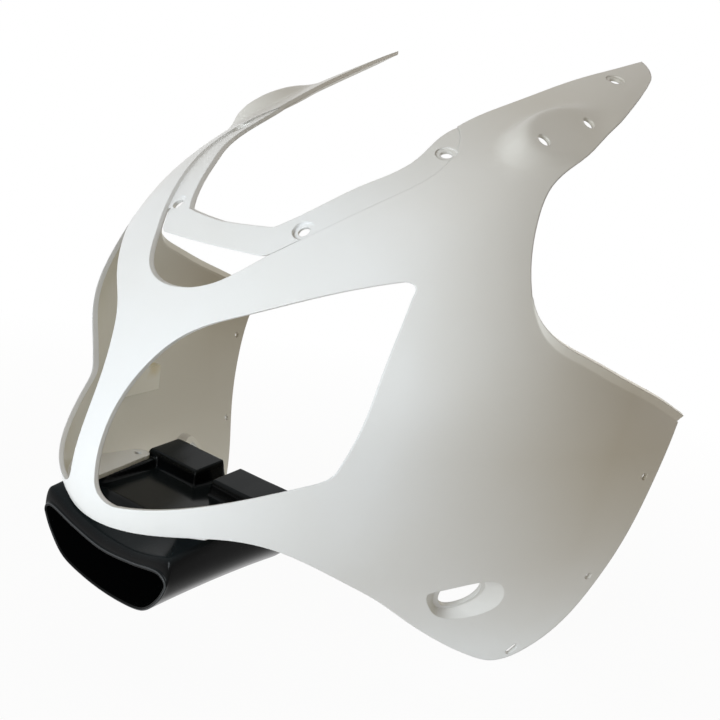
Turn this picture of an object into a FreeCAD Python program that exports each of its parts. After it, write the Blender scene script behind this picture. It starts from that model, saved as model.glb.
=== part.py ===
import FreeCAD, Part
import math
import os
from FreeCAD import Placement, Rotation, Vector

# The nose fairing of a sport motorbike in unpainted plastic, with the black air duct under its chin.
# x points to the rider's left, y to the rear and z up, in millimetres. The origin lies midway between
# the seats of the two front screen screws.

sizes = {
    # sheet of the moulding
    "wall": 3.0,
    "skin_rear": 341.0,
    "skin_rear_rake": 0.5,
    # screen ledge, a step below the skin
    "ledge_step": 2.5,
    "ledge_lap": 3.0,
    "ledge_slit": 1.5,
    "ledge_end_step": 0.6,
    "screen_hole": 8.0,
    "screen_recess": 14.0,
    "screen_recess_depth": 1.0,
    "screen_front_half": 60.0,
    "screen_front_pitch": 47.0,
    # flared lip of the shoulder
    "lip_reach": 6.4,
    "lip_flare": 3.5,
    # mirror pads
    "mirror_hole": 9.0,
    "mirror_spacing": 52.0,
    "pad_half_length": 42.0,
    "pad_half_width": 18.0,
    "pad_flat": 0.8,
    "pad_fade": 1.42,
    "pad_rise": 2.8,
    "pad_tilt": 6.0,
    "pad_roll": 13.0,
    # indicator recess
    "recess_depth": 7.0,
    # screw holes along the rear edge
    "rear_hole": 5.5,
    "tip_slot_length": 10.0,
    "tip_slot_width": 4.0,
    # tabs that rest on the duct
    "tab_top": -176.0,
    "tab_hole": 5.0,
    "tab_hole_side": 60.0,
    "tab_hole_back": -12.5,
    "tab_end_radius": 8.0,
    "tab_front_side": 36.0,
    "tab_front_back": -62.0,
    "tab_root_in": 32.0,
    "tab_root_out": 72.0,
    # black air duct
    "duct_front": -80.5,
    "mouth_rake": 3.0,
    "duct_back": 24.0,
    "duct_half_width": 66.0,
    "duct_top_half": 67.0,
    "duct_floor_half": 40.0,
    "duct_side_half": 53.0,
    "duct_side_rise": 15.0,
    "duct_shoulder": -204.0,
    "duct_bottom": -235.0,
    "duct_back_bottom": -230.0,
    "duct_floor_sag": 4.0,
    "duct_wall": 2.5,
    "duct_front_top": -191.0,
    "duct_roof_back": -45.0,
    "duct_round": 7.0,
    "mouth_brow": 6.5,
    "mouth_sag": 7.5,
    "mouth_top_half": 52.0,
    "tray_depth": 6.0,
    "tray_half_width": 50.0,
    "tray_front_half": 28.0,
    "tray_front": -64.0,
    "tray_back": -3.0,
    "outlet_gap": 8.0,
    "outlet_out": 63.0,
    "outlet_front_rise": 5.0,
    "outlet_rise": 9.0,
    "outlet_round": 3.0,
    "outlet_width": 38.0,
    "outlet_height": 22.0,
    # bonded lamp brackets
    "bracket_length": 50.0,
    "bracket_height": 20.0,
    "bracket_depth": 17.0,
    "bracket_nose": 3.0,
    "bracket_hole": 5.0,
    "bracket_hole_depth": 12.0,
    "bracket_back": 62.0,
    "bracket_level": -149.0,
    "bond_gap": 0.3,
}

# Level sections of the skin: at each height, where the nose is, the half width and the section's power.
stations = {
    "level": [-300, -250, -200, -150, -95, -40, 20, 80, 115, 150],
    "nose": [22, 6, -75, -97, -78, -44, 11, 100, 175, 260],
    "half_width": [184, 203, 219, 228, 221, 210, 183, 171, 156, 135],
    "power": [2.33, 2.11, 1.90, 1.69, 0.90, 0.57, 0.36, 0.41, 0.38, 0.30],
}

doc = FreeCAD.newDocument("front_fairing")
sheet = doc.addObject("Spreadsheet::Sheet", "sizes")
named = dict(sizes)
for name, values in stations.items():
    for number, value in enumerate(values):
        named["%s_%d" % (name, number)] = value
for row, (name, value) in enumerate(named.items(), start=1):
    sheet.set("A%d" % row, name)
    sheet.set("B%d" % row, str(value))
    sheet.setAlias("B%d" % row, name)
doc.recompute()


def size(name):
    return float(sheet.get(name))


def station(name):
    return [size("%s_%d" % (name, number)) for number in range(len(stations[name]))]


wall = size("wall")
step = size("ledge_step")
levels = station("level")
section_values = Part.BSplineCurve()
section_values.interpolate(
    Points=[Vector(*row) for row in zip(station("nose"), station("half_width"), station("power"))],
    Parameters=levels,
)


# The skin

def section(z):
    """Nose position, rear position, half width and power of the level section at height z."""
    values = section_values.value(z)
    rear = size("skin_rear") + size("skin_rear_rake") * z
    return values.x, rear, values.y, values.z


def skin_point(turn, z):
    """Point of the section x = half width * sin(turn), y = rear - (rear - nose) * cos(turn) ** power."""
    nose, rear, half_width, power = section(z)
    return Vector(half_width * math.sin(turn), rear - (rear - nose) * math.cos(turn) ** power, z)


def turn_at_side(x, z):
    return math.asin(x / section(z)[2])


def turn_at_depth(y, z):
    nose, rear, half_width, power = section(z)
    return math.acos(((rear - y) / (rear - nose)) ** (1 / power))


nudge = 0.002


def skin_normal(turn, z):
    """Unit normal that points out of the fairing."""
    across = skin_point(turn + nudge, z) - skin_point(turn - nudge, z)
    reach = nudge * section(z)[2]
    upward = skin_point(turn, z + reach) - skin_point(turn, z - reach)
    return across.cross(upward).normalize()


def offset_point(turn, z, depth):
    """Point at the given depth below the skin, or above it where the depth is negative."""
    return skin_point(turn, z) - skin_normal(turn, z) * depth


def spread(first, last, count):
    return [first + (last - first) * number / (count - 1) for number in range(count)]


sewing = 1e-6
smoothing = 0.1


def slab(turns, heights, upper_depth, lower_depth):
    """Solid between two sheets that lie at the given depths below the skin."""
    sheets = []
    for depth in (upper_depth, lower_depth):
        surface = Part.BSplineSurface()
        points = [[offset_point(turn, z, depth(turn, z)) for z in heights] for turn in turns]
        surface.approximate(Points=points, DegMin=3, DegMax=5, Continuity=2, Tolerance=smoothing)
        sheets.append(surface)
    faces = [surface.toShape() for surface in sheets]
    u0, u1, v0, v1 = sheets[0].bounds()
    for fixed, value in (("u", u0), ("u", u1), ("v", v0), ("v", v1)):
        pair = []
        for surface in sheets:
            curve = surface.uIso(value) if fixed == "u" else surface.vIso(value)
            pair.append(curve.toShape())
        faces.append(Part.makeRuledSurface(*pair))
    shell = Part.makeShell(faces)
    shell.sewShape()
    solid = Part.makeSolid(shell)
    solid.fix(sewing, sewing, sewing)
    if solid.Volume < 0:
        solid.reverse()
    return solid


def level_depth(depth):
    return lambda turn, z: depth


# Mirror pads: in a leaf-shaped area the sheet follows the pad's flat face, and around it fades into the skin.

def frame_on_skin(turn, z, ahead):
    """Origin, direction along the surface, direction across it and normal."""
    normal = skin_normal(turn, z)
    along = (ahead - normal * ahead.dot(normal)).normalize()
    return skin_point(turn, z), along, normal.cross(along), normal


pad_depth = 152.5
pad_level = 80.0
pad_ahead = Vector(0.1, 0.91, 0.4)
pad_turn = turn_at_depth(pad_depth, pad_level)
pad_seat, pad_along, pad_across, pad_normal = frame_on_skin(pad_turn, pad_level, pad_ahead)
tilt = Rotation(pad_across, size("pad_tilt"))
pad_along = tilt.multVec(pad_along)
roll = Rotation(pad_along, size("pad_roll"))
pad_across = roll.multVec(pad_across)
pad_normal = pad_along.cross(pad_across)
pad_top = pad_seat + pad_normal * size("pad_rise")


def pad_lift(turn, z):
    """How far the pad lifts the sheet off the skin."""
    below = pad_top - skin_point(abs(turn), z)
    reach = math.hypot(
        below.dot(pad_along) / size("pad_half_length"), below.dot(pad_across) / size("pad_half_width")
    )
    share = (size("pad_fade") - reach) / (size("pad_fade") - size("pad_flat"))
    share = min(max(share, 0), 1)
    fade = share * share * (3 - 2 * share)
    return fade * below.dot(pad_normal) / skin_normal(abs(turn), z).dot(pad_normal)


# Sample lines of the skin, closer together round the pads
side_turn = math.radians(86.5)
screen_turn = math.radians(62)
pad_turns = spread(math.radians(22), math.radians(76), 25)
pad_heights = spread(35, 125, 19)


def finer(plain, fine):
    """Sample lines in which the fine ones replace the plain ones of their stretch."""
    before = [value for value in plain if value < fine[0]]
    after = [value for value in plain if value > fine[-1]]
    return before + fine + after


half_turns = finer(spread(0, side_turn, 25), pad_turns)
skin_turns = [-turn for turn in reversed(half_turns[1:])] + half_turns
skin_heights = finer(spread(levels[0], levels[-1], 33), pad_heights)


# Outlines. A run of two points is a line, and a longer run is a smooth curve.

def closed_wire(runs, place):
    edges = []
    for run in runs:
        points = [place(*point) for point in run]
        if len(points) == 2:
            edges.append(Part.makeLine(*points))
        else:
            curve = Part.BSplineCurve()
            curve.interpolate(points)
            edges.append(curve.toShape())
    return Part.Wire(edges)


def mirrored_runs(half):
    """A half outline from the centre plane, and its mirror image back to the start."""
    other = [[(-x, z) for x, z in reversed(run)] for run in reversed(half)]
    joined = [other[-1][:-1] + half[0]]
    return joined + half[1:] + other[:-1]


ahead_of_nose = -200.0
through = 800.0


def in_front(x, z):
    return Vector(x, ahead_of_nose, z)


def at_side(y, z):
    return Vector(0, y, z)


def prism(name, runs, place, direction, length, both_ways=False):
    """Solid that an outline sweeps along a direction."""
    outline = doc.addObject("Part::Feature", name + "_outline")
    outline.Shape = Part.Face(closed_wire(runs, place))
    solid = doc.addObject("Part::Extrusion", name)
    solid.Base = outline
    solid.DirMode = "Custom"
    solid.Dir = direction
    solid.LengthFwd = length
    solid.Solid = True
    solid.Symmetric = both_ways
    return solid


def feature(name, shape):
    made = doc.addObject("Part::Feature", name)
    made.Shape = shape
    return made


def combined(kind, name, base, tool):
    made = doc.addObject(kind, name)
    made.Base = base
    made.Tool = tool
    return made


def fused(name, shapes):
    made = doc.addObject("Part::MultiFuse", name)
    made.Shapes = shapes
    return made


def mirror_image(source):
    made = doc.addObject("Part::Mirroring", source.Name + "_right")
    made.Source = source
    made.Normal = Vector(1, 0, 0)
    return made


# Side view, as y and z: lower edge, tip and rear edge, then shoulder and ear.
chin = -185.5
ear_top = 160.0
side_front = -140.0
side_runs = [
    [(side_front, chin), (-89, chin)],
    [(-89, chin), (-72, -180), (-52, -177), (-35, -180), (-16, -188.5), (15, -207), (65, -239), (107, -270),
     (125, -281.5), (138, -288), (151, -291.5), (162, -288.5), (171, -282), (187, -261), (200, -220),
     (213, -166), (227, -121), (236, -102)],
    [(236, -102), (232, -100.5)],
    [(232, -100.5), (218, -94.6), (204, -89), (161, -74), (127, -61.5), (100, -51), (87, -43),
     (80.5, -33), (79, -18), (83.5, 2), (96, 24.5), (115, 44.5), (150, 65), (213, 100), (262, 128),
     (271, 134), (279, 142.5), (283, 149)],
    [(283, 149), (283, ear_top)],
    [(283, ear_top), (side_front, ear_top)],
    [(side_front, ear_top), (side_front, chin)],
]

# Front view, as x and z. The window takes in the upper opening, the ledge and the screen.
window_top = 170.0
crease = [(52.5, -16.2), (65, -4.4), (81.5, 13), (96, 30), (102.5, 41), (103, 51), (97, 64), (84, 75)]
window_half = [
    [(0, -43.3), (16.4, -41.5), (32.5, -35.2), (45, -24.5), (52.5, -16.2)],
    crease,
    [(84, 75), (86, 84), (93.5, 99.5), (104, 123.5), (112, 135), (118, 145.5), (124, 157)],
    [(124, 157), (124, window_top)],
    [(124, window_top), (0, window_top)],
]
screen_edge = [
    (84, 75), (82, 65.4), (83.8, 56), (83.9, 49), (80, 40.7), (70.4, 31), (59.6, 18.3), (46, 4), (40, -0.8)
]
bar_top = [(40, -0.8), (20, -2.3), (0, -3.3)]
bar_bottom = -17.3
bar_end = 46.0
lamp_runs = [
    [(26, -168), (48, -164), (73, -156.3), (103, -142.7), (115, -136.4)],
    [(115, -136.4), (120.5, -131.8), (124, -125)],
    [(124, -125), (130.5, -107.7), (135, -92), (137.6, -65), (136.5, -37), (135.2, -24.5)],
    [(135.2, -24.5), (133.6, -18.8), (128, -17.3)],
    [(128, -17.3), (100, -29.3), (63, -48.3), (44, -58), (31, -68), (21, -82), (13.5, -100.5), (10.6, -118),
     (10.4, -135), (11.8, -153)],
    [(11.8, -153), (16, -164), (26, -168)],
]


def moved_line(points, distance):
    """A polyline moved to its right by a distance, corner by corner."""
    moved = []
    for number, (x, z) in enumerate(points):
        before = points[max(number - 1, 0)]
        after = points[min(number + 1, len(points) - 1)]
        along = Vector(after[0] - before[0], after[1] - before[1], 0).normalize()
        moved.append((x + along.y * distance, z - along.x * distance))
    return moved




def outer_depth(turn, z):
    return -pad_lift(turn, z)


def inner_depth(turn, z):
    return wall - pad_lift(turn, z)


skin = feature("skin", slab(skin_turns, skin_heights, outer_depth, inner_depth))
side_prism = prism("side_prism", side_runs, at_side, Vector(1, 0, 0), through, True)
panel = combined("Part::Common", "panel", skin, side_prism)
window = prism("window", mirrored_runs(window_half), in_front, Vector(0, 1, 0), through)
lamp_left = prism("lamp_opening", lamp_runs, in_front, Vector(0, 1, 0), through)
front_cuts = fused("front_cuts", [window, lamp_left, mirror_image(lamp_left)])
open_panel = combined("Part::Cut", "open_panel", panel, front_cuts)

# Ledge and cross bar: a second sheet under the skin, lapped by it and stepped less towards the ears.
slit_line = moved_line(crease[:2], -size("ledge_slit"))
lap_line = moved_line(crease[1:], size("ledge_lap"))
ledge_half = [
    [(0, bar_bottom), (bar_end, bar_bottom)],
    [(bar_end, bar_bottom), slit_line[0]],
    slit_line,
    [slit_line[1], lap_line[0]],
    lap_line,
    [lap_line[-1], screen_edge[0]],
    screen_edge,
    bar_top,
]
ledge_runs = ledge_half + [[(-x, z) for x, z in reversed(run)] for run in reversed(ledge_half)]
ledge_foot = 10.0
ledge_head = 84.0


def ledge_depth(turn, z):
    share = min(max((z - ledge_foot) / (ledge_head - ledge_foot), 0), 1)
    return step + (size("ledge_end_step") - step) * share


ledge_turns = spread(-screen_turn, screen_turn, 33)
ledge_heights = spread(-30, 100, 17)
ledge_sheet = feature(
    "ledge_sheet", slab(ledge_turns, ledge_heights, ledge_depth, lambda turn, z: ledge_depth(turn, z) + wall)
)
ledge_prism = prism("ledge_prism", ledge_runs, in_front, Vector(0, 1, 0), through)
ledge = combined("Part::Common", "ledge", ledge_sheet, ledge_prism)

# Shoulder lip: a flared profile carried along the shoulder, growing from nothing behind the lamp.
# The profile is given in shares of the lip's reach and flare.
shoulder = [
    (79, -18), (80.5, -33), (87, -43), (100, -51), (127, -61.5),
    (161, -74), (204, -89), (218, -94.6), (234, -101),
]
lip_growth = [0.05, 0.45, 0.8, 0.95, 1.0, 1.0, 1.0, 1.0, 1.0]
lip_profile = [(-0.45, -0.12), (0, 0.06), (0.7, 1.0), (1.0, 0.35), (0.2, -0.75), (-0.4, -0.75)]


def lip_wire(number):
    y, z = shoulder[number]
    before = shoulder[max(number - 1, 0)]
    after = shoulder[min(number + 1, len(shoulder) - 1)]
    ends = [skin_point(turn_at_depth(*place), place[1]) for place in (before, after)]
    along = (ends[1] - ends[0]).normalize()
    turn = turn_at_depth(y, z)
    normal = skin_normal(turn, z)
    outward = along.cross(normal).normalize()
    if outward.z < 0:
        outward = -outward
    corners = []
    for reach, flare in lip_profile:
        grown = [share * lip_growth[number] if share > 0 else share for share in (reach, flare)]
        edge = outward * grown[0] * size("lip_reach")
        corners.append(skin_point(turn, z) + edge + normal * grown[1] * size("lip_flare"))
    return Part.makePolygon(corners + corners[:1])


lip = feature("lip", Part.makeLoft([lip_wire(number) for number in range(len(shoulder))], True, False))


def slot_wire(centre, along, across, half_length, half_width):
    """Rounded slot outline whose ends are half circles."""
    ends = []
    for sign in (1, -1):
        middle = centre + along * sign * (half_length - half_width)
        ends.append(
            Part.Arc(
                middle - across * sign * half_width,
                middle + along * sign * half_width,
                middle + across * sign * half_width,
            )
        )
    first, second = (arc.toShape() for arc in ends)
    sides = [
        Part.makeLine(ends[0].EndPoint, ends[1].StartPoint),
        Part.makeLine(ends[1].EndPoint, ends[0].StartPoint),
    ]
    return Part.Wire([first, sides[0], second, sides[1]])


# Indicator recess, on a frame of its own: a steep front wall, a long rear ramp and a cable opening.
# Each rim point has a floor point and an opening point.
recess_place = (108.0, -231.0)
recess_ahead = Vector(0.45, 0.9, 0)
recess_turn = turn_at_depth(*recess_place)
recess_frame = frame_on_skin(recess_turn, recess_place[1], recess_ahead)
recess_seat, recess_along, recess_across, recess_normal = recess_frame
rim_points = [(-31, 9), (-4, 19), (19, 19), (27, 9), (27.5, -6), (17, -18), (-9, -25), (-22, -16)]
floor_points = [(-20, 4), (-3, 12), (9, 12), (14, 4), (14, -7), (9, -16), (-8, -23), (-18, -15)]
opening_points = [(-17, 3), (-3, 9), (7, 9.5), (11, 3), (11, -6), (8, -13), (-7, -20), (-15, -13)]
recess_lift = 6.0
recess_reach = 30.0


def recess_wire(points, grow, depth):
    """Smooth closed outline, grown outwards, at a depth below the recess frame."""
    corners = []
    for along, across in points:
        share = 1 + grow / math.hypot(along, across)
        place = recess_seat + recess_along * along * share + recess_across * across * share
        corners.append(place - recess_normal * depth)
    curve = Part.BSplineCurve()
    curve.interpolate(corners, PeriodicFlag=True)
    return Part.Wire([curve.toShape()])


def between(share):
    """Outline on the way from the rim to the floor, or beyond the rim where the share is negative."""
    pairs = zip(rim_points, floor_points)
    return [(a + (c - a) * share, b + (d - b) * share) for (a, b), (c, d) in pairs]


recess_floor = size("recess_depth")
lift_share = -recess_lift / recess_floor
cup_turns = spread(math.radians(15), math.radians(80), 21)
cup_heights = spread(-295, -170, 13)
below_skin = slab(cup_turns, cup_heights, level_depth(wall / 2), level_depth(recess_reach))
cup_wires = [recess_wire(between(0), wall, 0), recess_wire(between(1), wall, recess_floor + wall)]
cup = feature("recess_cup", Part.makeLoft(cup_wires, True, True).common(below_skin))
recess_wires = [recess_wire(between(lift_share), 0, -recess_lift), recess_wire(between(1), 0, recess_floor)]
recess = feature("recess", Part.makeLoft(recess_wires, True, True))
opening_wires = [recess_wire(opening_points, 0, depth) for depth in (-recess_lift, recess_reach)]
opening = feature("recess_opening", Part.makeLoft(opening_wires, True, True))

# Tabs: flat plates from the chin's inside to the top of the duct.
tab_bottom = size("tab_top") - wall
tab_middle = size("tab_top") - wall / 2
tab_hole = Vector(size("tab_hole_side"), size("tab_hole_back"), tab_bottom)
tab_radius = size("tab_end_radius")


def tab_edge(x):
    place = offset_point(turn_at_side(x, tab_middle), tab_middle, wall / 2)
    return Vector(place.x, place.y, tab_bottom)


tab_inner = Vector(size("tab_front_side"), size("tab_front_back"), tab_bottom)
tab_outer = Part.BSplineCurve()
tab_outer.interpolate([tab_edge(x) for x in spread(size("tab_root_in"), size("tab_root_out"), 5)])
tab_round = Part.Arc(
    tab_hole + Vector(tab_radius, 0, 0),
    tab_hole + Vector(0, tab_radius, 0),
    tab_hole - Vector(tab_radius, 0, 0),
)
tab_wire = Part.Wire(
    [
        tab_outer.toShape(),
        Part.makeLine(tab_outer.EndPoint, tab_round.StartPoint),
        tab_round.toShape(),
        Part.makeLine(tab_round.EndPoint, tab_inner),
        Part.makeLine(tab_inner, tab_outer.StartPoint),
    ]
)
tab_face = feature("tab_outline", Part.Face(tab_wire))
tab = doc.addObject("Part::Extrusion", "tab")
tab.Base = tab_face
tab.DirMode = "Custom"
tab.Dir = Vector(0, 0, 1)
tab.setExpression("LengthFwd", "sizes.wall")
tab.Solid = True

solids = [lip, cup, tab]
moulding = fused("moulding", [open_panel, ledge] + solids + [mirror_image(solid) for solid in solids])

# Holes, each on its own axis
drill_reach = 20.0
recess_clear = 8.0


def drill(name, seat, axis, width, below=drill_reach, above=drill_reach):
    """Round cutter through a seat, its width bound to the sheet."""
    hole = doc.addObject("Part::Cylinder", name)
    hole.setExpression("Radius", "sizes.%s / 2" % width)
    hole.Height = below + above
    hole.Placement = Placement(seat - axis * below, Rotation(Vector(0, 0, 1), axis))
    return hole


def seat_at_side(x, z, depth):
    turn = turn_at_side(x, z)
    return offset_point(turn, z, depth), skin_normal(turn, z)


def seat_at_depth(y, z):
    turn = turn_at_depth(y, z)
    return skin_point(turn, z), skin_normal(turn, z)


def depth_at_side(x, z, depth):
    """Where the level line at x and z meets the sheet at a depth below the skin."""
    turn = turn_at_side(x, z)
    return skin_point(turn, z).y - depth / skin_normal(turn, z).y


front_half = size("screen_front_half")
pitch = math.radians(size("screen_front_pitch"))
screen_axis = Vector(0, -math.sin(pitch), math.cos(pitch))
sunk = size("screen_recess_depth")
screen_front = Vector(front_half, depth_at_side(front_half, 0, step + sunk), 0)
middle_seat = (96.0, 58.0)
ear_seat = (122.0, 126.3)
screen_seats = [
    (screen_front, screen_axis),
    seat_at_side(*middle_seat, ledge_depth(0, middle_seat[1]) + sunk),
    seat_at_side(*ear_seat, sunk),
]
cutters = [recess, opening]
for number, (seat, axis) in enumerate(screen_seats):
    cutters.append(drill("screen_hole_%d" % number, seat, axis, "screen_hole"))
    cutters.append(drill("screen_recess_%d" % number, seat, axis, "screen_recess", 0, recess_clear))
for number, sign in enumerate((-1, 1)):
    seat = pad_top + pad_along * sign * size("mirror_spacing") / 2
    cutters.append(drill("mirror_hole_%d" % number, seat, pad_normal, "mirror_hole"))
rear_places = [(208, -139.5), (190, -217.4)]
rear_axis = Vector(1, -0.3, -0.15).normalize()
for number, place in enumerate(rear_places):
    cutters.append(drill("rear_hole_%d" % number, seat_at_depth(*place)[0], rear_axis, "rear_hole"))
slot_place = (162.5, -282.0)
slot_ahead = Vector(0, 0.7, 0.7)
slot_seat, slot_axis = seat_at_depth(*slot_place)
slot_along = (slot_ahead - slot_axis * slot_axis.dot(slot_ahead)).normalize()
slot = slot_wire(
    slot_seat - slot_axis * drill_reach / 2,
    slot_along,
    slot_axis.cross(slot_along),
    size("tip_slot_length") / 2,
    size("tip_slot_width") / 2,
)
cutters.append(feature("tip_slot", Part.Face(slot).extrude(slot_axis * drill_reach)))
cutters.append(drill("tab_hole", tab_hole, Vector(0, 0, 1), "tab_hole", 0))
holes = fused("holes", cutters + [mirror_image(cutter) for cutter in cutters])
nose_shell = combined("Part::Cut", "nose_shell", moulding, holes)


# The air duct: a moulded body with a wide mouth, a sunk tray on top and two outlet boxes behind

def sketch_on(body, role, offset, name):
    sketch = body.newObject("Sketcher::SketchObject", name)
    planes = [plane for plane in body.Origin.OriginFeatures if plane.Role == role]
    sketch.AttachmentSupport = [(planes[0], "")]
    sketch.MapMode = "FlatFace"
    sketch.AttachmentOffset = Placement(Vector(0, 0, offset), Rotation())
    return sketch


def draw(sketch, corners):
    """Closed outline: two numbers are a line's end, and a pair of points is an arc's middle and end."""
    start = corners[0]
    place = start
    for corner in corners[1:] + [start]:
        if isinstance(corner[0], tuple):
            middle, end = corner
            points = [Vector(*spot, 0) for spot in (place, middle, end)]
            sketch.addGeometry(Part.Arc(*points), False)
        else:
            end = corner
            sketch.addGeometry(Part.LineSegment(Vector(*place, 0), Vector(*end, 0)), False)
        place = end
    return sketch


duct = doc.addObject("PartDesign::Body", "ram_air_duct")
duct_top = tab_bottom
half = size("duct_half_width")
top_half = size("duct_top_half")
shoulder_level = size("duct_shoulder")
thin = size("duct_wall")
front = size("duct_front")
back = size("duct_back")
round_share = 1 - math.sqrt(0.5)
belly_share = 0.41


def belly(low, inset):
    """Round lower corners and sagging floor of a section that is lowest at a level, from right to left."""
    floor = low + inset
    edge = floor + size("duct_floor_sag")
    flat = size("duct_floor_half") - inset
    side = size("duct_side_half") - inset
    turn = floor + size("duct_side_rise")
    bend = (side - (side - flat) * belly_share, edge + (turn - edge) * belly_share)
    return [
        (-side, turn),
        ((-bend[0], bend[1]), (-flat, edge)),
        ((0, floor), (flat, edge)),
        (bend, (side, turn)),
    ]


def outer_section(name, y, low):
    """Whole section of the duct: flared sides, and a flat top."""
    sketch = sketch_on(duct, "XZ_Plane", -y, name)
    top = [(half, shoulder_level), (top_half, duct_top), (-top_half, duct_top), (-half, shoulder_level)]
    return draw(sketch, belly(low, 0) + top)


def inner_section(name, y, low, roof, sag):
    """Section of the air way, with round upper corners under a roof that sags in the middle."""
    sketch = sketch_on(duct, "XZ_Plane", -y, name)
    side = half - thin
    roof_half = size("mouth_top_half")
    bend = (side - (side - roof_half) * round_share, roof - (roof - shoulder_level) * round_share)
    top = [
        (side, shoulder_level),
        (bend, (roof_half, roof)),
        ((0, roof - sag), (-roof_half, roof)),
        ((-bend[0], bend[1]), (-side, shoulder_level)),
    ]
    return draw(sketch, belly(low, thin) + top)


outer_front = outer_section("outer_front", front, size("duct_bottom"))
outer_back = outer_section("outer_back", back, size("duct_back_bottom"))
hull = duct.newObject("PartDesign::AdditiveLoft", "hull")
hull.Profile = outer_front
hull.Sections = [outer_back]
hull.Ruled = True

roof = sketch_on(duct, "YZ_Plane", 0, "roof_line")
roof_back = size("duct_roof_back")
roof_top = duct_top + size("outlet_rise")
front_top = size("duct_front_top")
draw(roof, [(front, front_top), (roof_back, duct_top), (roof_back, roof_top), (front, roof_top)])
roof_cut = duct.newObject("PartDesign::Pocket", "roof_cut")
roof_cut.Profile = roof
roof_cut.Type = 1
roof_cut.Midplane = True

bottom = size("duct_bottom")
mouth_line = sketch_on(duct, "YZ_Plane", 0, "mouth_line")
draw(
    mouth_line,
    [(front, front_top), (front + size("mouth_rake"), bottom - 1),
     (front - 1, bottom - 1), (front - 1, front_top)],
)
mouth_cut = duct.newObject("PartDesign::Pocket", "mouth_cut")
mouth_cut.Profile = mouth_line
mouth_cut.Type = 1
mouth_cut.Midplane = True

doc.recompute()


def is_rounded(middle):
    """Whether an edge with this middle belongs to the brow or to the widest line of the sides."""
    on_brow = middle.y < roof_back + sewing and middle.z > front_top - sewing
    return on_brow or abs(middle.z - shoulder_level) < sewing


brow_edges = [
    "Edge%d" % number
    for number, edge in enumerate(mouth_cut.Shape.Edges, start=1)
    if is_rounded(edge.CenterOfMass)
]
brow_round = duct.newObject("PartDesign::Fillet", "brow_round")
brow_round.Base = (mouth_cut, brow_edges)
brow_round.setExpression("Radius", "sizes.duct_round")

brow = front_top - size("mouth_brow")
tray_floor = duct_top - size("tray_depth")
inner_front = inner_section("inner_front", front, size("duct_bottom"), brow, size("mouth_sag"))
back_roof = tray_floor - 2 * thin
inner_back = inner_section("inner_back", back - thin, size("duct_back_bottom"), back_roof, thin / 2)
air_way = duct.newObject("PartDesign::SubtractiveLoft", "air_way")
air_way.Profile = inner_front
air_way.Sections = [inner_back]
air_way.Ruled = True

tray = sketch_on(duct, "XY_Plane", duct_top, "tray")
tray_half = size("tray_half_width")
tray_front_half = size("tray_front_half")
tray_front = size("tray_front")
tray_back = size("tray_back")
gap = size("outlet_gap")
draw(
    tray,
    [(-tray_half, tray_back), (-gap, tray_back), (-gap, back + 1), (gap, back + 1), (gap, tray_back),
     (tray_half, tray_back), (tray_front_half, tray_front), (-tray_front_half, tray_front)],
)
tray_cut = duct.newObject("PartDesign::Pocket", "tray_cut")
tray_cut.Profile = tray
tray_cut.setExpression("Length", "sizes.tray_depth")

box = sketch_on(duct, "YZ_Plane", gap, "outlet_box")
outlet_round = size("outlet_round")
box_front = duct_top + size("outlet_front_rise")
root = duct_top - 1
draw(
    box,
    [(tray_back, root), (tray_back, box_front), (back - outlet_round, roof_top),
     (back, roof_top - outlet_round), (back, root)],
)
box_pad = duct.newObject("PartDesign::Pad", "box_pad")
box_pad.Profile = box
box_pad.setExpression("Length", "sizes.outlet_out - sizes.outlet_gap")
boxes = duct.newObject("PartDesign::Mirrored", "boxes")
boxes.Originals = [box_pad]
boxes.MirrorPlane = (outer_back, ["V_Axis"])
duct.Tip = boxes

outlet = sketch_on(duct, "XZ_Plane", -back, "outlets")
outlet_top = back_roof - thin
outlet_low = outlet_top - size("outlet_height")
outlet_in = gap
outlet_out = gap + size("outlet_width")
for sign in (1, -1):
    inner, outer = outlet_in * sign, outlet_out * sign
    draw(outlet, [(inner, outlet_low), (outer, outlet_low), (outer, outlet_top), (inner, outlet_top)])
outlet_cut = duct.newObject("PartDesign::Pocket", "outlet_cut")
outlet_cut.Profile = outlet
outlet_cut.setExpression("Length", "2 * sizes.duct_wall")
outlet_cut.Reversed = True
duct.Tip = outlet_cut


# Lamp brackets: wedges with a screw hole in their thick end, bonded inside the side panels

bracket_margin = 30.0
bracket_hole_share = 0.45


def bracket(name, sign):
    level = size("bracket_level")
    back_end = size("bracket_back")
    front_end = back_end - size("bracket_length")
    half_height = size("bracket_height") / 2
    depth = wall + size("bond_gap")
    depths = spread(front_end - bracket_margin, back_end + bracket_margin, 9)
    turns = [turn_at_depth(y, level) for y in depths]
    heights = spread(level - bracket_margin, level + bracket_margin, 5)
    beyond = slab(turns, heights, level_depth(-bracket_margin), level_depth(depth))
    front_seat = offset_point(turn_at_depth(front_end, level), level, depth)
    back_seat = offset_point(turn_at_depth(back_end, level), level, depth)
    front_in = front_seat - Vector(size("bracket_nose"), 0, 0)
    back_in = back_seat - Vector(size("bracket_depth"), 0, 0)
    out = Vector(size("bracket_height"), 0, 0)
    corners = [front_in, back_in, back_seat + out, front_seat + out]
    outline = [Vector(place.x, place.y, level - half_height) for place in corners]
    wedge = Part.Face(Part.makePolygon(outline + outline[:1])).extrude(Vector(0, 0, size("bracket_height")))
    seat = back_in + Vector(size("bracket_depth") * bracket_hole_share, 0, 0)
    bore = Part.makeCylinder(size("bracket_hole") / 2, size("bracket_hole_depth"), seat, Vector(0, -1, 0))
    shape = wedge.cut(beyond).cut(bore)
    if sign < 0:
        shape = shape.mirror(Vector(0, 0, 0), Vector(1, 0, 0))
    return feature(name, shape)


lamp_bracket_left = bracket("lamp_bracket_left", 1)
lamp_bracket_right = bracket("lamp_bracket_right", -1)

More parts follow.
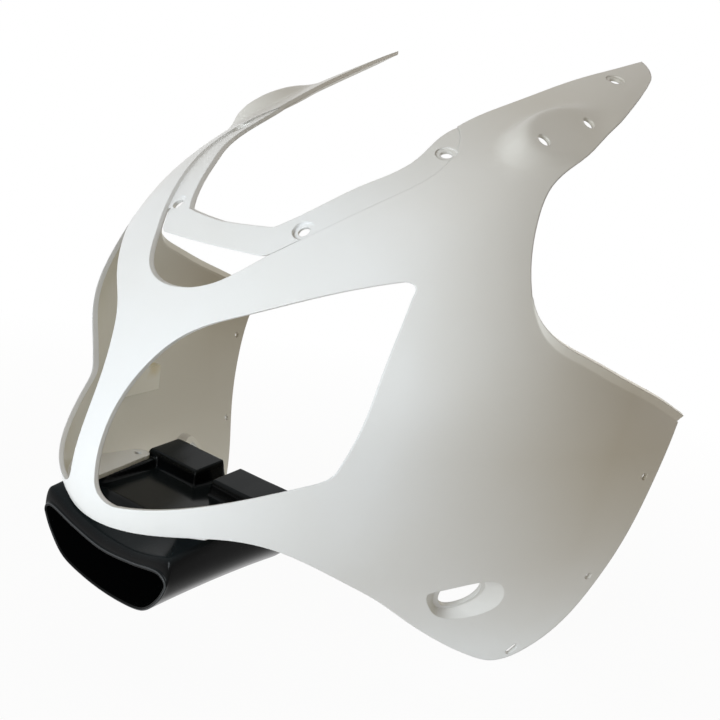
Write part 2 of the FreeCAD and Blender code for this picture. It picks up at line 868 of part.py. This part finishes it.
sub_parts = [nose_shell, duct, lamp_bracket_left, lamp_bracket_right]
for part in sub_parts:
    part.Label = part.Name
    part.Placement = Placement(Vector(0, -screen_front.y, 0), Rotation())
doc.recompute()
for item in doc.Objects:
    if "Invalid" in item.State or "Error" in item.State:
        raise RuntimeError("%s failed: %s" % (item.Name, item.State))
for part in sub_parts:
    if part.Shape.isNull() or not part.Shape.isValid():
        raise RuntimeError("%s has no valid shape" % part.Label)
    print(part.Label, len(part.Shape.Solids), round(part.Shape.Volume / 1000, 1), "cm3", part.Shape.BoundBox)
print("moved by", -screen_front.y)

os.makedirs("parts", exist_ok=True)
for part in sub_parts:
    part.Shape.exportStep("parts/%s.step" % part.Label)
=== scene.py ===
import bpy
import numpy as np
from mathutils import Matrix, Vector


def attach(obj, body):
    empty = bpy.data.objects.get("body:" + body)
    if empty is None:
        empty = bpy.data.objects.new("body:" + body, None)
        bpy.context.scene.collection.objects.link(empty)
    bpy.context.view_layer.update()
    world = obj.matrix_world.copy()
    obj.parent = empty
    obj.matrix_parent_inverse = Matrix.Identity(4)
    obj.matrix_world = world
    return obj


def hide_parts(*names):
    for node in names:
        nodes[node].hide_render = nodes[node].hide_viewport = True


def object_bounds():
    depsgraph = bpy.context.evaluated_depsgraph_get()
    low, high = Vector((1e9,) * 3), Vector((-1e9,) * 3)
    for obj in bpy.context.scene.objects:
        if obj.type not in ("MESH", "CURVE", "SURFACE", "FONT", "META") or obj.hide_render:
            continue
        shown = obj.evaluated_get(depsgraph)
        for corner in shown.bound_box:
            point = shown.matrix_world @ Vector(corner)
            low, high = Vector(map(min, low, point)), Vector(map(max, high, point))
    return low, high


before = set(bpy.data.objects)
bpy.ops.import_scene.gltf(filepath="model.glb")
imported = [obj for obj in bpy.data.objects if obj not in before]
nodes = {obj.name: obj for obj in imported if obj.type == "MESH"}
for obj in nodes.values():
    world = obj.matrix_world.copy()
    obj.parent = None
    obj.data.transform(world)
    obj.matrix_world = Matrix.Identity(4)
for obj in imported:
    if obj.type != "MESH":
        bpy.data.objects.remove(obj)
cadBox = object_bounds()
print("frame loaded:", sorted(nodes))

scene = bpy.context.scene
scene.view_settings.view_transform = "Standard"
millimetre = 0.001


class Sock:
    # wraps a node socket: operators add Math nodes, node() adds any other node
    def __init__(self, tree, socket=None):
        self.tree = tree
        self.socket = socket

    def node(self, kind, settings=None, inputs=None, output=0):
        made = self.tree.nodes.new("ShaderNode" + kind)
        for name, value in (settings or {}).items():
            setattr(made, name, value)
        for name, value in (inputs or {}).items():
            if isinstance(value, Sock):
                self.tree.links.new(value.socket, made.inputs[name])
            else:
                made.inputs[name].default_value = value
        return Sock(self.tree, made.outputs[output] if made.outputs else None)

    def maths(self, operation, *values):
        return self.node("Math", {"operation": operation}, dict(enumerate(values)))

    def __add__(self, other):
        return self.maths("ADD", self, other)

    def __radd__(self, other):
        return self.maths("ADD", other, self)

    def __sub__(self, other):
        return self.maths("SUBTRACT", self, other)

    def __rsub__(self, other):
        return self.maths("SUBTRACT", other, self)

    def __mul__(self, other):
        return self.maths("MULTIPLY", self, other)

    def __rmul__(self, other):
        return self.maths("MULTIPLY", other, self)

    def clip(self, low, high):
        # 0 below low, 1 above high, straight in between
        return self.node("MapRange", None, {"Value": self, "From Min": low, "From Max": high})

    def mix(self, first, second):
        # colour mix: first at 0, second at 1
        return self.node("Mix", {"data_type": "RGBA"}, {0: self, 6: first, 7: second}, 2)

    def axis(self, number):
        # one of x, y and z of a vector
        return self.node("SeparateXYZ", None, {"Vector": self}, number)

    def noise(self, scale, detail):
        # noise at a place
        return self.node("TexNoise", None, {"Vector": self, "Scale": scale, "Detail": detail})


def newMaterial(name):
    material = bpy.data.materials.new(name)
    material.use_nodes = True
    material.node_tree.nodes.clear()
    return material, Sock(material.node_tree)


def finishMaterial(tree, shader):
    tree.node("OutputMaterial", None, {"Surface": shader})


shellFinish = {
    "colour": (0.80, 0.81, 0.83, 1),
    "deep": (0.77, 0.77, 0.77, 1),  # colour in the middle of a cloud
    "cloud": (9.0, 3.0),  # scale and detail
    "cloudBand": (0.3, 0.75),
    "grain": (900.0, 2.0),
    "peel": (60.0, 1.0),
    "peelStrength": 0.3,
    "peelHeight": 0.00005,
    "edgeRound": 0.0011,
    "edgeSamples": 6,
    "backFacing": (0.05, 0.6),  # y of the normal
    # colour of the painted shade on faces turned to the rear
    "backShade": (0.61, 0.59, 0.475, 1),
    "rearShadeReach": (0.005, 0.165),  # y, from unshaded to painted shade
    "rearShadeFoot": (-0.28, -0.12),  # z, from unshaded to painted shade
    "rearShadeHead": (-0.03, 0.05),  # z where the painted shade gets weaker
    "headShare": 0.4,
    "rearShade": 0.9,
    "rearShadeColour": (0.44, 0.38, 0.275, 1),
    "roughness": 0.26,
    "grainRough": 0.06,
    "cloudRough": 0.08,
    "coat": 0.12,
    "coatRoughness": 0.12,
}


def shellPlastic():
    # colour drifts in wide clouds, with painted shade that turns it darker and tan towards the rear and on
    # faces turned to the rear; gloss follows fine grain, and the skin has a faint peel
    f = shellFinish
    material, tree = newMaterial("whiteMoulding")
    place = tree.node("TexCoord", output="Object")
    cloud = place.noise(*f["cloud"])
    grain = place.noise(*f["grain"])
    peel = place.noise(*f["peel"])
    backward = tree.node("NewGeometry", output="True Normal").axis(1)
    rearward = place.axis(1)
    level = place.axis(2)
    # painted shade: darker and tan towards the rear, fading at the lowest edge and weaker near the top
    head = 1.0 - f["headShare"] * level.clip(*f["rearShadeHead"])
    rearShade = rearward.clip(*f["rearShadeReach"]) * level.clip(*f["rearShadeFoot"]) * head
    colour = cloud.clip(*f["cloudBand"]).mix(f["colour"], f["deep"])
    colour = (rearShade * f["rearShade"]).mix(colour, f["rearShadeColour"])
    # painted shade: faces turned to the rear are tinted tan
    colour = backward.clip(*f["backFacing"]).mix(colour, f["backShade"])
    rough = f["roughness"] + f["grainRough"] * grain + f["cloudRough"] * cloud
    soft = tree.node("Bevel", {"samples": f["edgeSamples"]}, {"Radius": f["edgeRound"]})
    wave = {"Strength": f["peelStrength"], "Distance": f["peelHeight"], "Height": peel, "Normal": soft}
    look = {
        "Base Color": colour,
        "Roughness": rough,
        "Normal": tree.node("Bump", None, wave),
        "Coat Weight": f["coat"],
        "Coat Roughness": f["coatRoughness"],
    }
    finishMaterial(tree, tree.node("BsdfPrincipled", None, look))
    return material


ductFinish = {
    "colour": (0.0022, 0.0024, 0.0026, 1),
    "dustAndSheen": (0.010, 0.014, 0.016, 1),
    "dustAndSheenFacing": (0.2, 0.95),  # z of the normal
    "dustAndSheenBand": (0.45, 0.8),
    "dustAndSheenLeast": 0.65,  # share of the dust and painted sheen outside the clouds
    # colour of the painted highlight along the lip
    "rimHighlight": (0.06, 0.062, 0.066, 1),
    "cloud": (14.0, 4.0),
    "grain": (1100.0, 2.0),
    "peel": (70.0, 1.0),
    "peelStrength": 0.3,
    "peelHeight": 0.00005,
    "roughness": 0.08,
    "cloudRough": 0.10,
    "grainRough": 0.05,
    "specular": 0.07,
}


def ductPlastic():
    # black gloss moulding with a trace of dust, partly painted sheen, on what faces up outside, and a painted
    # highlight in grey along the lip of the mouth
    f = ductFinish
    material, tree = newMaterial("blackMoulding")
    place = tree.node("TexCoord", output="Object")
    cloud = place.noise(*f["cloud"])
    grain = place.noise(*f["grain"])
    peel = place.noise(*f["peel"])
    upward = tree.node("NewGeometry", output="Normal").axis(2)
    outside = tree.node("Attribute", {"attribute_name": "outside"}, None, 2)
    rimHighlight = tree.node("Attribute", {"attribute_name": "lipHighlight"}, None, 2)
    patches = f["dustAndSheenLeast"] + (1 - f["dustAndSheenLeast"]) * cloud.clip(*f["dustAndSheenBand"])
    # partly dust, partly painted sheen: outside faces that face up are lighter, in patches
    dustAndSheen = outside * upward.clip(*f["dustAndSheenFacing"]) * patches
    # painted highlight: the lip rows are mixed to grey
    colour = rimHighlight.mix(dustAndSheen.mix(f["colour"], f["dustAndSheen"]), f["rimHighlight"])
    rough = f["roughness"] + f["cloudRough"] * cloud + f["grainRough"] * grain
    wave = {"Strength": f["peelStrength"], "Distance": f["peelHeight"], "Height": peel}
    look = {
        "Base Color": colour,
        "Roughness": rough,
        "Normal": tree.node("Bump", None, wave),
        "Specular IOR Level": f["specular"],
    }
    finishMaterial(tree, tree.node("BsdfPrincipled", None, look))
    return material


bracketFinish = {
    "colour": (0.94, 0.94, 0.88, 1),
    "glue": (0.80, 0.72, 0.50, 1),
    "glueReach": (-0.150, -0.140),  # z, from clean to stained
    "glueBand": (0.4, 0.65),
    "cloud": (60.0, 4.0),
    "grain": (700.0, 2.0),
    "grainStrength": 0.4,
    "grainHeight": 0.0001,
    "roughness": 0.45,
    "grainRough": 0.15,
}


def bracketPlastic():
    # pale moulding, stained by glue in patches along its top
    f = bracketFinish
    material, tree = newMaterial("bracketMoulding")
    place = tree.node("TexCoord", output="Object")
    cloud = place.noise(*f["cloud"])
    grain = place.noise(*f["grain"])
    stain = cloud.clip(*f["glueBand"]) * place.axis(2).clip(*f["glueReach"])
    wave = {"Strength": f["grainStrength"], "Distance": f["grainHeight"], "Height": grain}
    look = {
        "Base Color": stain.mix(f["colour"], f["glue"]),
        "Roughness": f["roughness"] + f["grainRough"] * grain,
        "Normal": tree.node("Bump", None, wave),
    }
    finishMaterial(tree, tree.node("BsdfPrincipled", None, look))
    return material


white = shellPlastic()
black = ductPlastic()
pale = bracketPlastic()
finishes = {
    "nose_shell": white,
    "lamp_bracket_left": pale,
    "lamp_bracket_right": pale,
}
for name, material in finishes.items():
    nodes[name].data.materials.clear()
    nodes[name].data.materials.append(material)
print("finishes on the moulded pieces")


def through(points, steps):
    # smooth curve (Catmull-Rom) through points that start and end on the mirror line, with steps for each
    # span, and the place of each point along it, counted in spans
    p = np.array(points, float)
    padded = np.vstack([p[1] * (-1, 1), p, p[-2] * (-1, 1)])
    span = np.concatenate([np.full(count, number) for number, count in enumerate(steps)] + [[len(p) - 2]])
    t = np.concatenate([np.arange(count) / count for count in steps] + [[1.0]])[:, None]
    a, b, c, d = (padded[span + shift] for shift in range(4))
    curve = b + 0.5 * t * (c - a + t * (2 * a - 5 * b + 4 * c - d + t * (3 * (b - c) + d - a)))
    return curve, span + t[:, 0]


def wholeLoop(half, mirror=True):
    # closed loop from a right half that runs from the bottom centre to the top centre
    other = half[-2:0:-1].copy()
    if mirror:
        other[:, 0] *= -1
    return np.concatenate([half, other])


def ease(value):
    # 0 below 0, 1 above 1, smooth in between
    t = np.clip(value, 0, 1)
    return t * t * (3 - 2 * t)


def between(pair, share):
    # value at a share of the way from the first to the second
    return pair[0] + (pair[1] - pair[0]) * share


def gridFaces(rows, columns):
    # quads of a grid of points, row by row, closed along the columns
    row, column = np.meshgrid(np.arange(rows - 1), np.arange(columns), indexing="ij")
    after = (column + 1) % columns
    here = row * columns
    there = here + columns
    corners = [here + column, here + after, there + after, there + column]
    return np.stack([corner.ravel() for corner in corners], axis=1)


def addPiece(name, points, faces, material):
    # mesh in metres from points in millimetres, smooth shaded, riding the part
    mesh = bpy.data.meshes.new(name)
    mesh.from_pydata((points * millimetre).tolist(), [], faces.tolist())
    mesh.polygons.foreach_set("use_smooth", np.ones(len(faces), bool))
    mesh.materials.append(material)
    piece = bpy.data.objects.new(name, mesh)
    scene.collection.objects.link(piece)
    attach(piece, "root")
    return piece


# Duct: closed loops that run from the mouth's rim to the rear, sunk for the tray and raised for the boxes.
# The right halves of its outlines are x and z from the bottom centre to the top centre.
ductForm = {
    "rim": [(0, -236.4), (20, -235.4), (38, -232.6), (48.5, -227.6), (58.5, -217.6), (63.8, -209.2),
            (65.2, -204.6), (62.4, -200.4), (54, -198.8), (30, -203.4), (0, -206.6)],
    "rear": [(0, -230), (20, -229), (38, -226), (48, -220.5), (58, -211), (64, -202),
             (66.2, -192), (65.6, -183.2), (59, -179.05), (30, -179.05), (0, -179.05)],
    "inside": [(0, -227), (20, -226), (37, -223), (46, -218), (55.5, -209.5), (61.5, -201.5),
               (62.5, -196), (60.5, -192), (52, -190.5), (30, -190.5), (0, -190.5)],
    "steps": [10, 10, 8, 8, 8, 8, 10, 12, 48, 48],  # columns in each span of an outline
    "browRows": 40,
    "backRows": 100,
    "lipRows": 9,
    "airWayRows": 24,
    "front": -82.2,  # y of the rim at the height frontTop
    "frontTop": -191.0,
    "rake": 0.067,
    "back": 21.85,
    "brow": 0.34,  # share of the length
    "browFront": 0.09,  # share of the brow
    "browShare": (0.56, 0.2),  # rise of the brow's front at the corner and in the middle
    "browSpan": (6.8, 2.4),  # where the corner ends and how soon the middle follows, in spans
    "browPower": 2.3,
    "sidePower": 1.8,
    "topSpan": (4.3, 2.4),  # where the side ends and how soon the top follows, in spans
    "flatSpan": 7,  # where the flat top starts, in spans
    "lip": 1.15,
    "rimHighlightRows": (1, 3),
    "wallRun": 2.4,
    "trayFloor": -185.0,
    "trayEnds": (-66.1, -5.1),
    "trayHalf": (40.0, 50.0),
    "channelHalf": 8.0,
    "channelLead": 10,
    "boxSides": (8.0, 61.0),
    "boxEnds": (-5.1, 20.8),
    "boxRise": (5.0, 9.0),
    "hole": (27.0, -203.5, 19.0, 11.0),  # middle x and z, half width and half height
    "holeDepth": 5.0,
}


def ductTopChange(x, y, z):
    # height that the tray's floor and the boxes add to the top: products of eased steps
    f = ductForm

    def step(distance):
        # 0 to 1 across the run of a wall
        return ease(distance / f["wallRun"] + 0.5)

    start, end = f["trayEnds"]
    half = between(f["trayHalf"], np.clip((y - start) / (end - start), 0, 1))
    tray = step(half - abs(x)) * step(y - start) * step(end - y)
    channel = step(f["channelHalf"] - abs(x)) * step(y - end + f["channelLead"])
    inner, outer = f["boxSides"]
    boxStart, boxEnd = f["boxEnds"]
    rise = between(f["boxRise"], np.clip((y - boxStart) / (boxEnd - boxStart), 0, 1))
    box = step(abs(x) - inner) * step(outer - abs(x)) * step(y - boxStart) * step(boxEnd - y)
    return rise * box + np.maximum(tray, channel) * np.minimum(f["trayFloor"] - z, 0)


def ductBody():
    f = ductForm
    rimHalf, index = through(f["rim"], f["steps"])
    rim = wholeLoop(rimHalf)
    rear = wholeLoop(through(f["rear"], f["steps"])[0])
    inside = wholeLoop(through(f["inside"], f["steps"])[0])
    index = wholeLoop(index[:, None], False)[:, 0]
    along = np.roll(rim, -1, axis=0) - np.roll(rim, 1, axis=0)
    outward = np.stack([along[:, 1], -along[:, 0]], axis=1) / np.linalg.norm(along, axis=1)[:, None]
    mouth = f["front"] + f["rake"] * (f["frontTop"] - rim[:, 1])

    # hull: at a share s of the length each point lies on the straight way from rim to rear. The sides have gone
    # 1 - (1 - s) ^ sidePower of it, and the top has gone it by the end of the brow, part of it straight and
    # part along a quarter of a superellipse at the brow's front.
    browSteps = np.linspace(0, 1, f["browRows"])[:-1] ** 2 * f["brow"]
    s = np.concatenate([browSteps, np.linspace(f["brow"], 1, f["backRows"])])[::-1, None]
    sigma = np.clip(s / f["brow"], 0, 1)
    start = np.clip(sigma / f["browFront"], 0, 1)
    bend = (1 - (1 - start) ** f["browPower"]) ** (1 / f["browPower"])
    cornerEnd, cornerRun = f["browSpan"]
    share = between(f["browShare"], ease((index - cornerEnd) / cornerRun)[None])
    topWay = share * bend + (1 - share) * sigma
    lowWay = 1 - (1 - s) ** f["sidePower"]
    sideEnd, sideRun = f["topSpan"]
    topShare = ease((index - sideEnd) / sideRun)[None]
    way = topWay * topShare + lowWay * (1 - topShare)
    hull = rim[None] + (rear - rim)[None] * way[..., None]
    hullY = mouth * (1 - s) + f["back"] * s
    hull[..., 1] += ease(index - f["flatSpan"])[None] * ductTopChange(hull[..., 0], hullY, hull[..., 1])

    # lip: half a circle from the rim to the inside of the wall
    turn = np.linspace(0, np.pi, f["lipRows"])[1:, None]
    lip = rim[None] + outward[None] * (f["lip"] * (np.cos(turn) - 1))[..., None]
    lipY = mouth[None] - f["lip"] * np.sin(turn)

    # air way: straight from the lip to the outline inside the rear wall
    t = np.linspace(0, 1, f["airWayRows"])[1:, None]
    airWay = lip[-1][None] + (inside - lip[-1])[None] * t[..., None]
    airWayY = mouth * (1 - t) + (f["back"] - f["holeDepth"]) * t

    loops = np.concatenate([hull, lip, airWay])
    depth = np.concatenate([hullY, lipY, airWayY])
    points = np.stack([loops[..., 0], depth, loops[..., 1]], axis=-1)
    rows, columns = points.shape[:2]
    piece = addPiece("ductBody", points.reshape(-1, 3), gridFaces(rows, columns), black)
    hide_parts("ram_air_duct")
    row = np.repeat(np.arange(rows) - len(hull), columns)  # counted from the lip
    first, last = f["rimHighlightRows"]
    # the lip rows marked here carry the painted highlight
    marks = {"outside": row < 0, "lipHighlight": (row >= first) & (row < last)}
    for name, mark in marks.items():
        piece.data.attributes.new(name, "FLOAT", "POINT").data.foreach_set("value", mark.astype(float))
    return points[0]


def ductRear(edge):
    # rear wall: rays from each outlet's middle run from the outlet's outline to the duct's outline
    f = ductForm
    nearZero, parallel, slack = 1e-9, 1e-12, 1e-6
    middle, level, halfWide, halfHigh = f["hole"]
    loop = edge[: len(edge) // 2 + 1][:, [0, 2]] - (middle, level)
    bounds = np.vstack([loop, loop[:1]])
    corners = np.array([(a * halfWide, b * halfHigh) for a in (-1, 1) for b in (-1, 1)])
    angle = np.unique(np.concatenate([np.arctan2(p[:, 1], p[:, 0]) for p in (loop, corners)]))
    ray = np.stack([np.cos(angle), np.sin(angle)], axis=1)
    near = ray * np.minimum(halfWide / (abs(ray[:, :1]) + nearZero), halfHigh / (abs(ray[:, 1:]) + nearZero))
    start, side = bounds[:-1], np.diff(bounds, axis=0)
    cross = ray[:, :1] * side[:, 1] - ray[:, 1:] * side[:, 0] + parallel
    reach = (start[:, 0] * side[:, 1] - start[:, 1] * side[:, 0]) / cross
    place = (start[:, 0] * ray[:, 1:] - start[:, 1] * ray[:, :1]) / cross
    crossed = (place > -slack) & (place < 1 + slack) & (reach > 0)
    far = ray * np.where(crossed, reach, np.inf).min(axis=1)[:, None]
    rings = np.stack([near, near, far]) + (middle, level)
    ringY = np.array([f["back"] - f["holeDepth"], f["back"], f["back"]])
    depth = np.broadcast_to(ringY[:, None], rings.shape[:2])
    for name, sign in (("ductRearLeft", 1), ("ductRearRight", -1)):
        points = np.stack([rings[..., 0] * sign, depth, rings[..., 1]], axis=-1)
        piece = addPiece(name, points.reshape(-1, 3), gridFaces(len(rings), len(angle)), black)
        piece.data.polygons.foreach_set("use_smooth", np.zeros(len(piece.data.polygons), bool))


ductRear(ductBody())
print("duct made")


# Stage: floor, lamps, world and camera
stage = {
    "floorDrop": 0.001,
    "floorSize": 30.0,
    "floorColour": (0.88, 0.88, 0.87, 1),
    "shadowShare": 0.05,
    "shadowReach": (0.45, 1.1),  # distance at which the shadow fades out
    "worldColour": (1.0, 0.89, 0.70, 1),
    "worldStrength": 0.235,
    "paper": {"Color": (1, 1, 1, 1), "Strength": 1.0},  # white background
}


def seenDirectly(tree):
    # 1 for what the camera, a mirror or glass shows, 0 for what lights the object
    path = tree.node("LightPath").socket.node
    names = ("Is Camera Ray", "Is Glossy Ray", "Is Transmission Ray")
    camera, mirror, glass = (Sock(tree.tree, path.outputs[name]) for name in names)
    return camera.maths("MAXIMUM", camera, mirror.maths("MAXIMUM", mirror, glass))


def floorPaint():
    # white to the camera and to mirrors, but keeps part of the object's shadow
    material, tree = newMaterial("paleFloor")
    paint = tree.node("BsdfDiffuse", None, {"Color": stage["floorColour"]})
    glow = tree.node("Emission", None, stage["paper"])
    place = tree.node("TexCoord", output="Object")
    away = tree.node("VectorMath", {"operation": "LENGTH"}, {0: place}, 1)
    whiteness = 1.0 - stage["shadowShare"] * (1.0 - away.clip(*stage["shadowReach"]))
    shader = tree.node("MixShader", None, {0: seenDirectly(tree) * whiteness, 1: paint, 2: glow})
    finishMaterial(tree, shader)
    return material


corner = stage["floorSize"] / 2
level = cadBox[0][2] - stage["floorDrop"]
floorMesh = bpy.data.meshes.new("floor")
floorMesh.from_pydata(
    [(-corner, -corner, level), (corner, -corner, level), (corner, corner, level), (-corner, corner, level)],
    [],
    [(0, 1, 2, 3)],
)
floor = bpy.data.objects.new("floor", floorMesh)
floor.data.materials.append(floorPaint())
scene.collection.objects.link(floor)

world = bpy.data.worlds.new("studio")
scene.world = world
world.use_nodes = True
world.node_tree.nodes.clear()
sky = Sock(world.node_tree)
ambient = sky.node("Background", None, {"Color": stage["worldColour"], "Strength": stage["worldStrength"]})
paper = sky.node("Background", None, stage["paper"])
mixed = sky.node("MixShader", None, {0: seenDirectly(sky), 1: ambient, 2: paper})
sky.node("OutputWorld", None, {"Surface": mixed})

lamps = {
    "key": {
        "place": (0.12, -1.7, 0.16),
        "aim": (0, 0.05, -0.1),
        "size": 0.9,
        "power": 26,
        "colour": (0.89, 0.96, 1.0),
    },
    "side": {
        "place": (1.3, -1.2, 0.1),
        "aim": (0.1, 0.05, -0.1),
        "size": 0.7,
        "power": 1,
        "colour": (1.0, 0.98, 0.94),
    },
    "top": {
        "place": (0.2, 0.0, 1.5),
        "aim": (0, 0.05, 0),
        "size": 1.0,
        "power": 2,
        "colour": (1.0, 0.99, 0.97),
    },
    "back": {
        "place": (0.1, 1.6, 0.45),
        "aim": (0, 0, -0.15),
        "size": 0.9,
        "power": 3.5,
        "colour": (1.0, 0.96, 0.87),
    },
}
for name, lamp in lamps.items():
    light = bpy.data.lights.new(name, "AREA")
    light.size = lamp["size"]
    light.energy = lamp["power"]
    light.color = lamp["colour"]
    holder = bpy.data.objects.new(name, light)
    ahead = Vector(lamp["aim"]) - Vector(lamp["place"])
    holder.location = lamp["place"]
    holder.rotation_euler = ahead.to_track_quat("-Z", "Y").to_euler()
    scene.collection.objects.link(holder)

view = {
    "place": (0.4331, -0.3882, 0.0469),
    "right": (0.74751, 0.64975, 0.13811),
    "above": (-0.24551, 0.07704, 0.96635),
    "behind": (0.61721, -0.75625, 0.21710),
    "lens": 45.0,
    "sensor": 36.0,
    "nearest": 0.01,
}
eye = bpy.data.cameras.new("eye")
eye.lens = view["lens"]
eye.sensor_width = view["sensor"]
eye.clip_start = view["nearest"]
eyeHolder = bpy.data.objects.new("eye", eye)
turned = Matrix((view["right"], view["above"], view["behind"])).transposed().to_4x4()
eyeHolder.matrix_world = Matrix.Translation(view["place"]) @ turned
scene.collection.objects.link(eyeHolder)
scene.camera = eyeHolder
print("stage set")
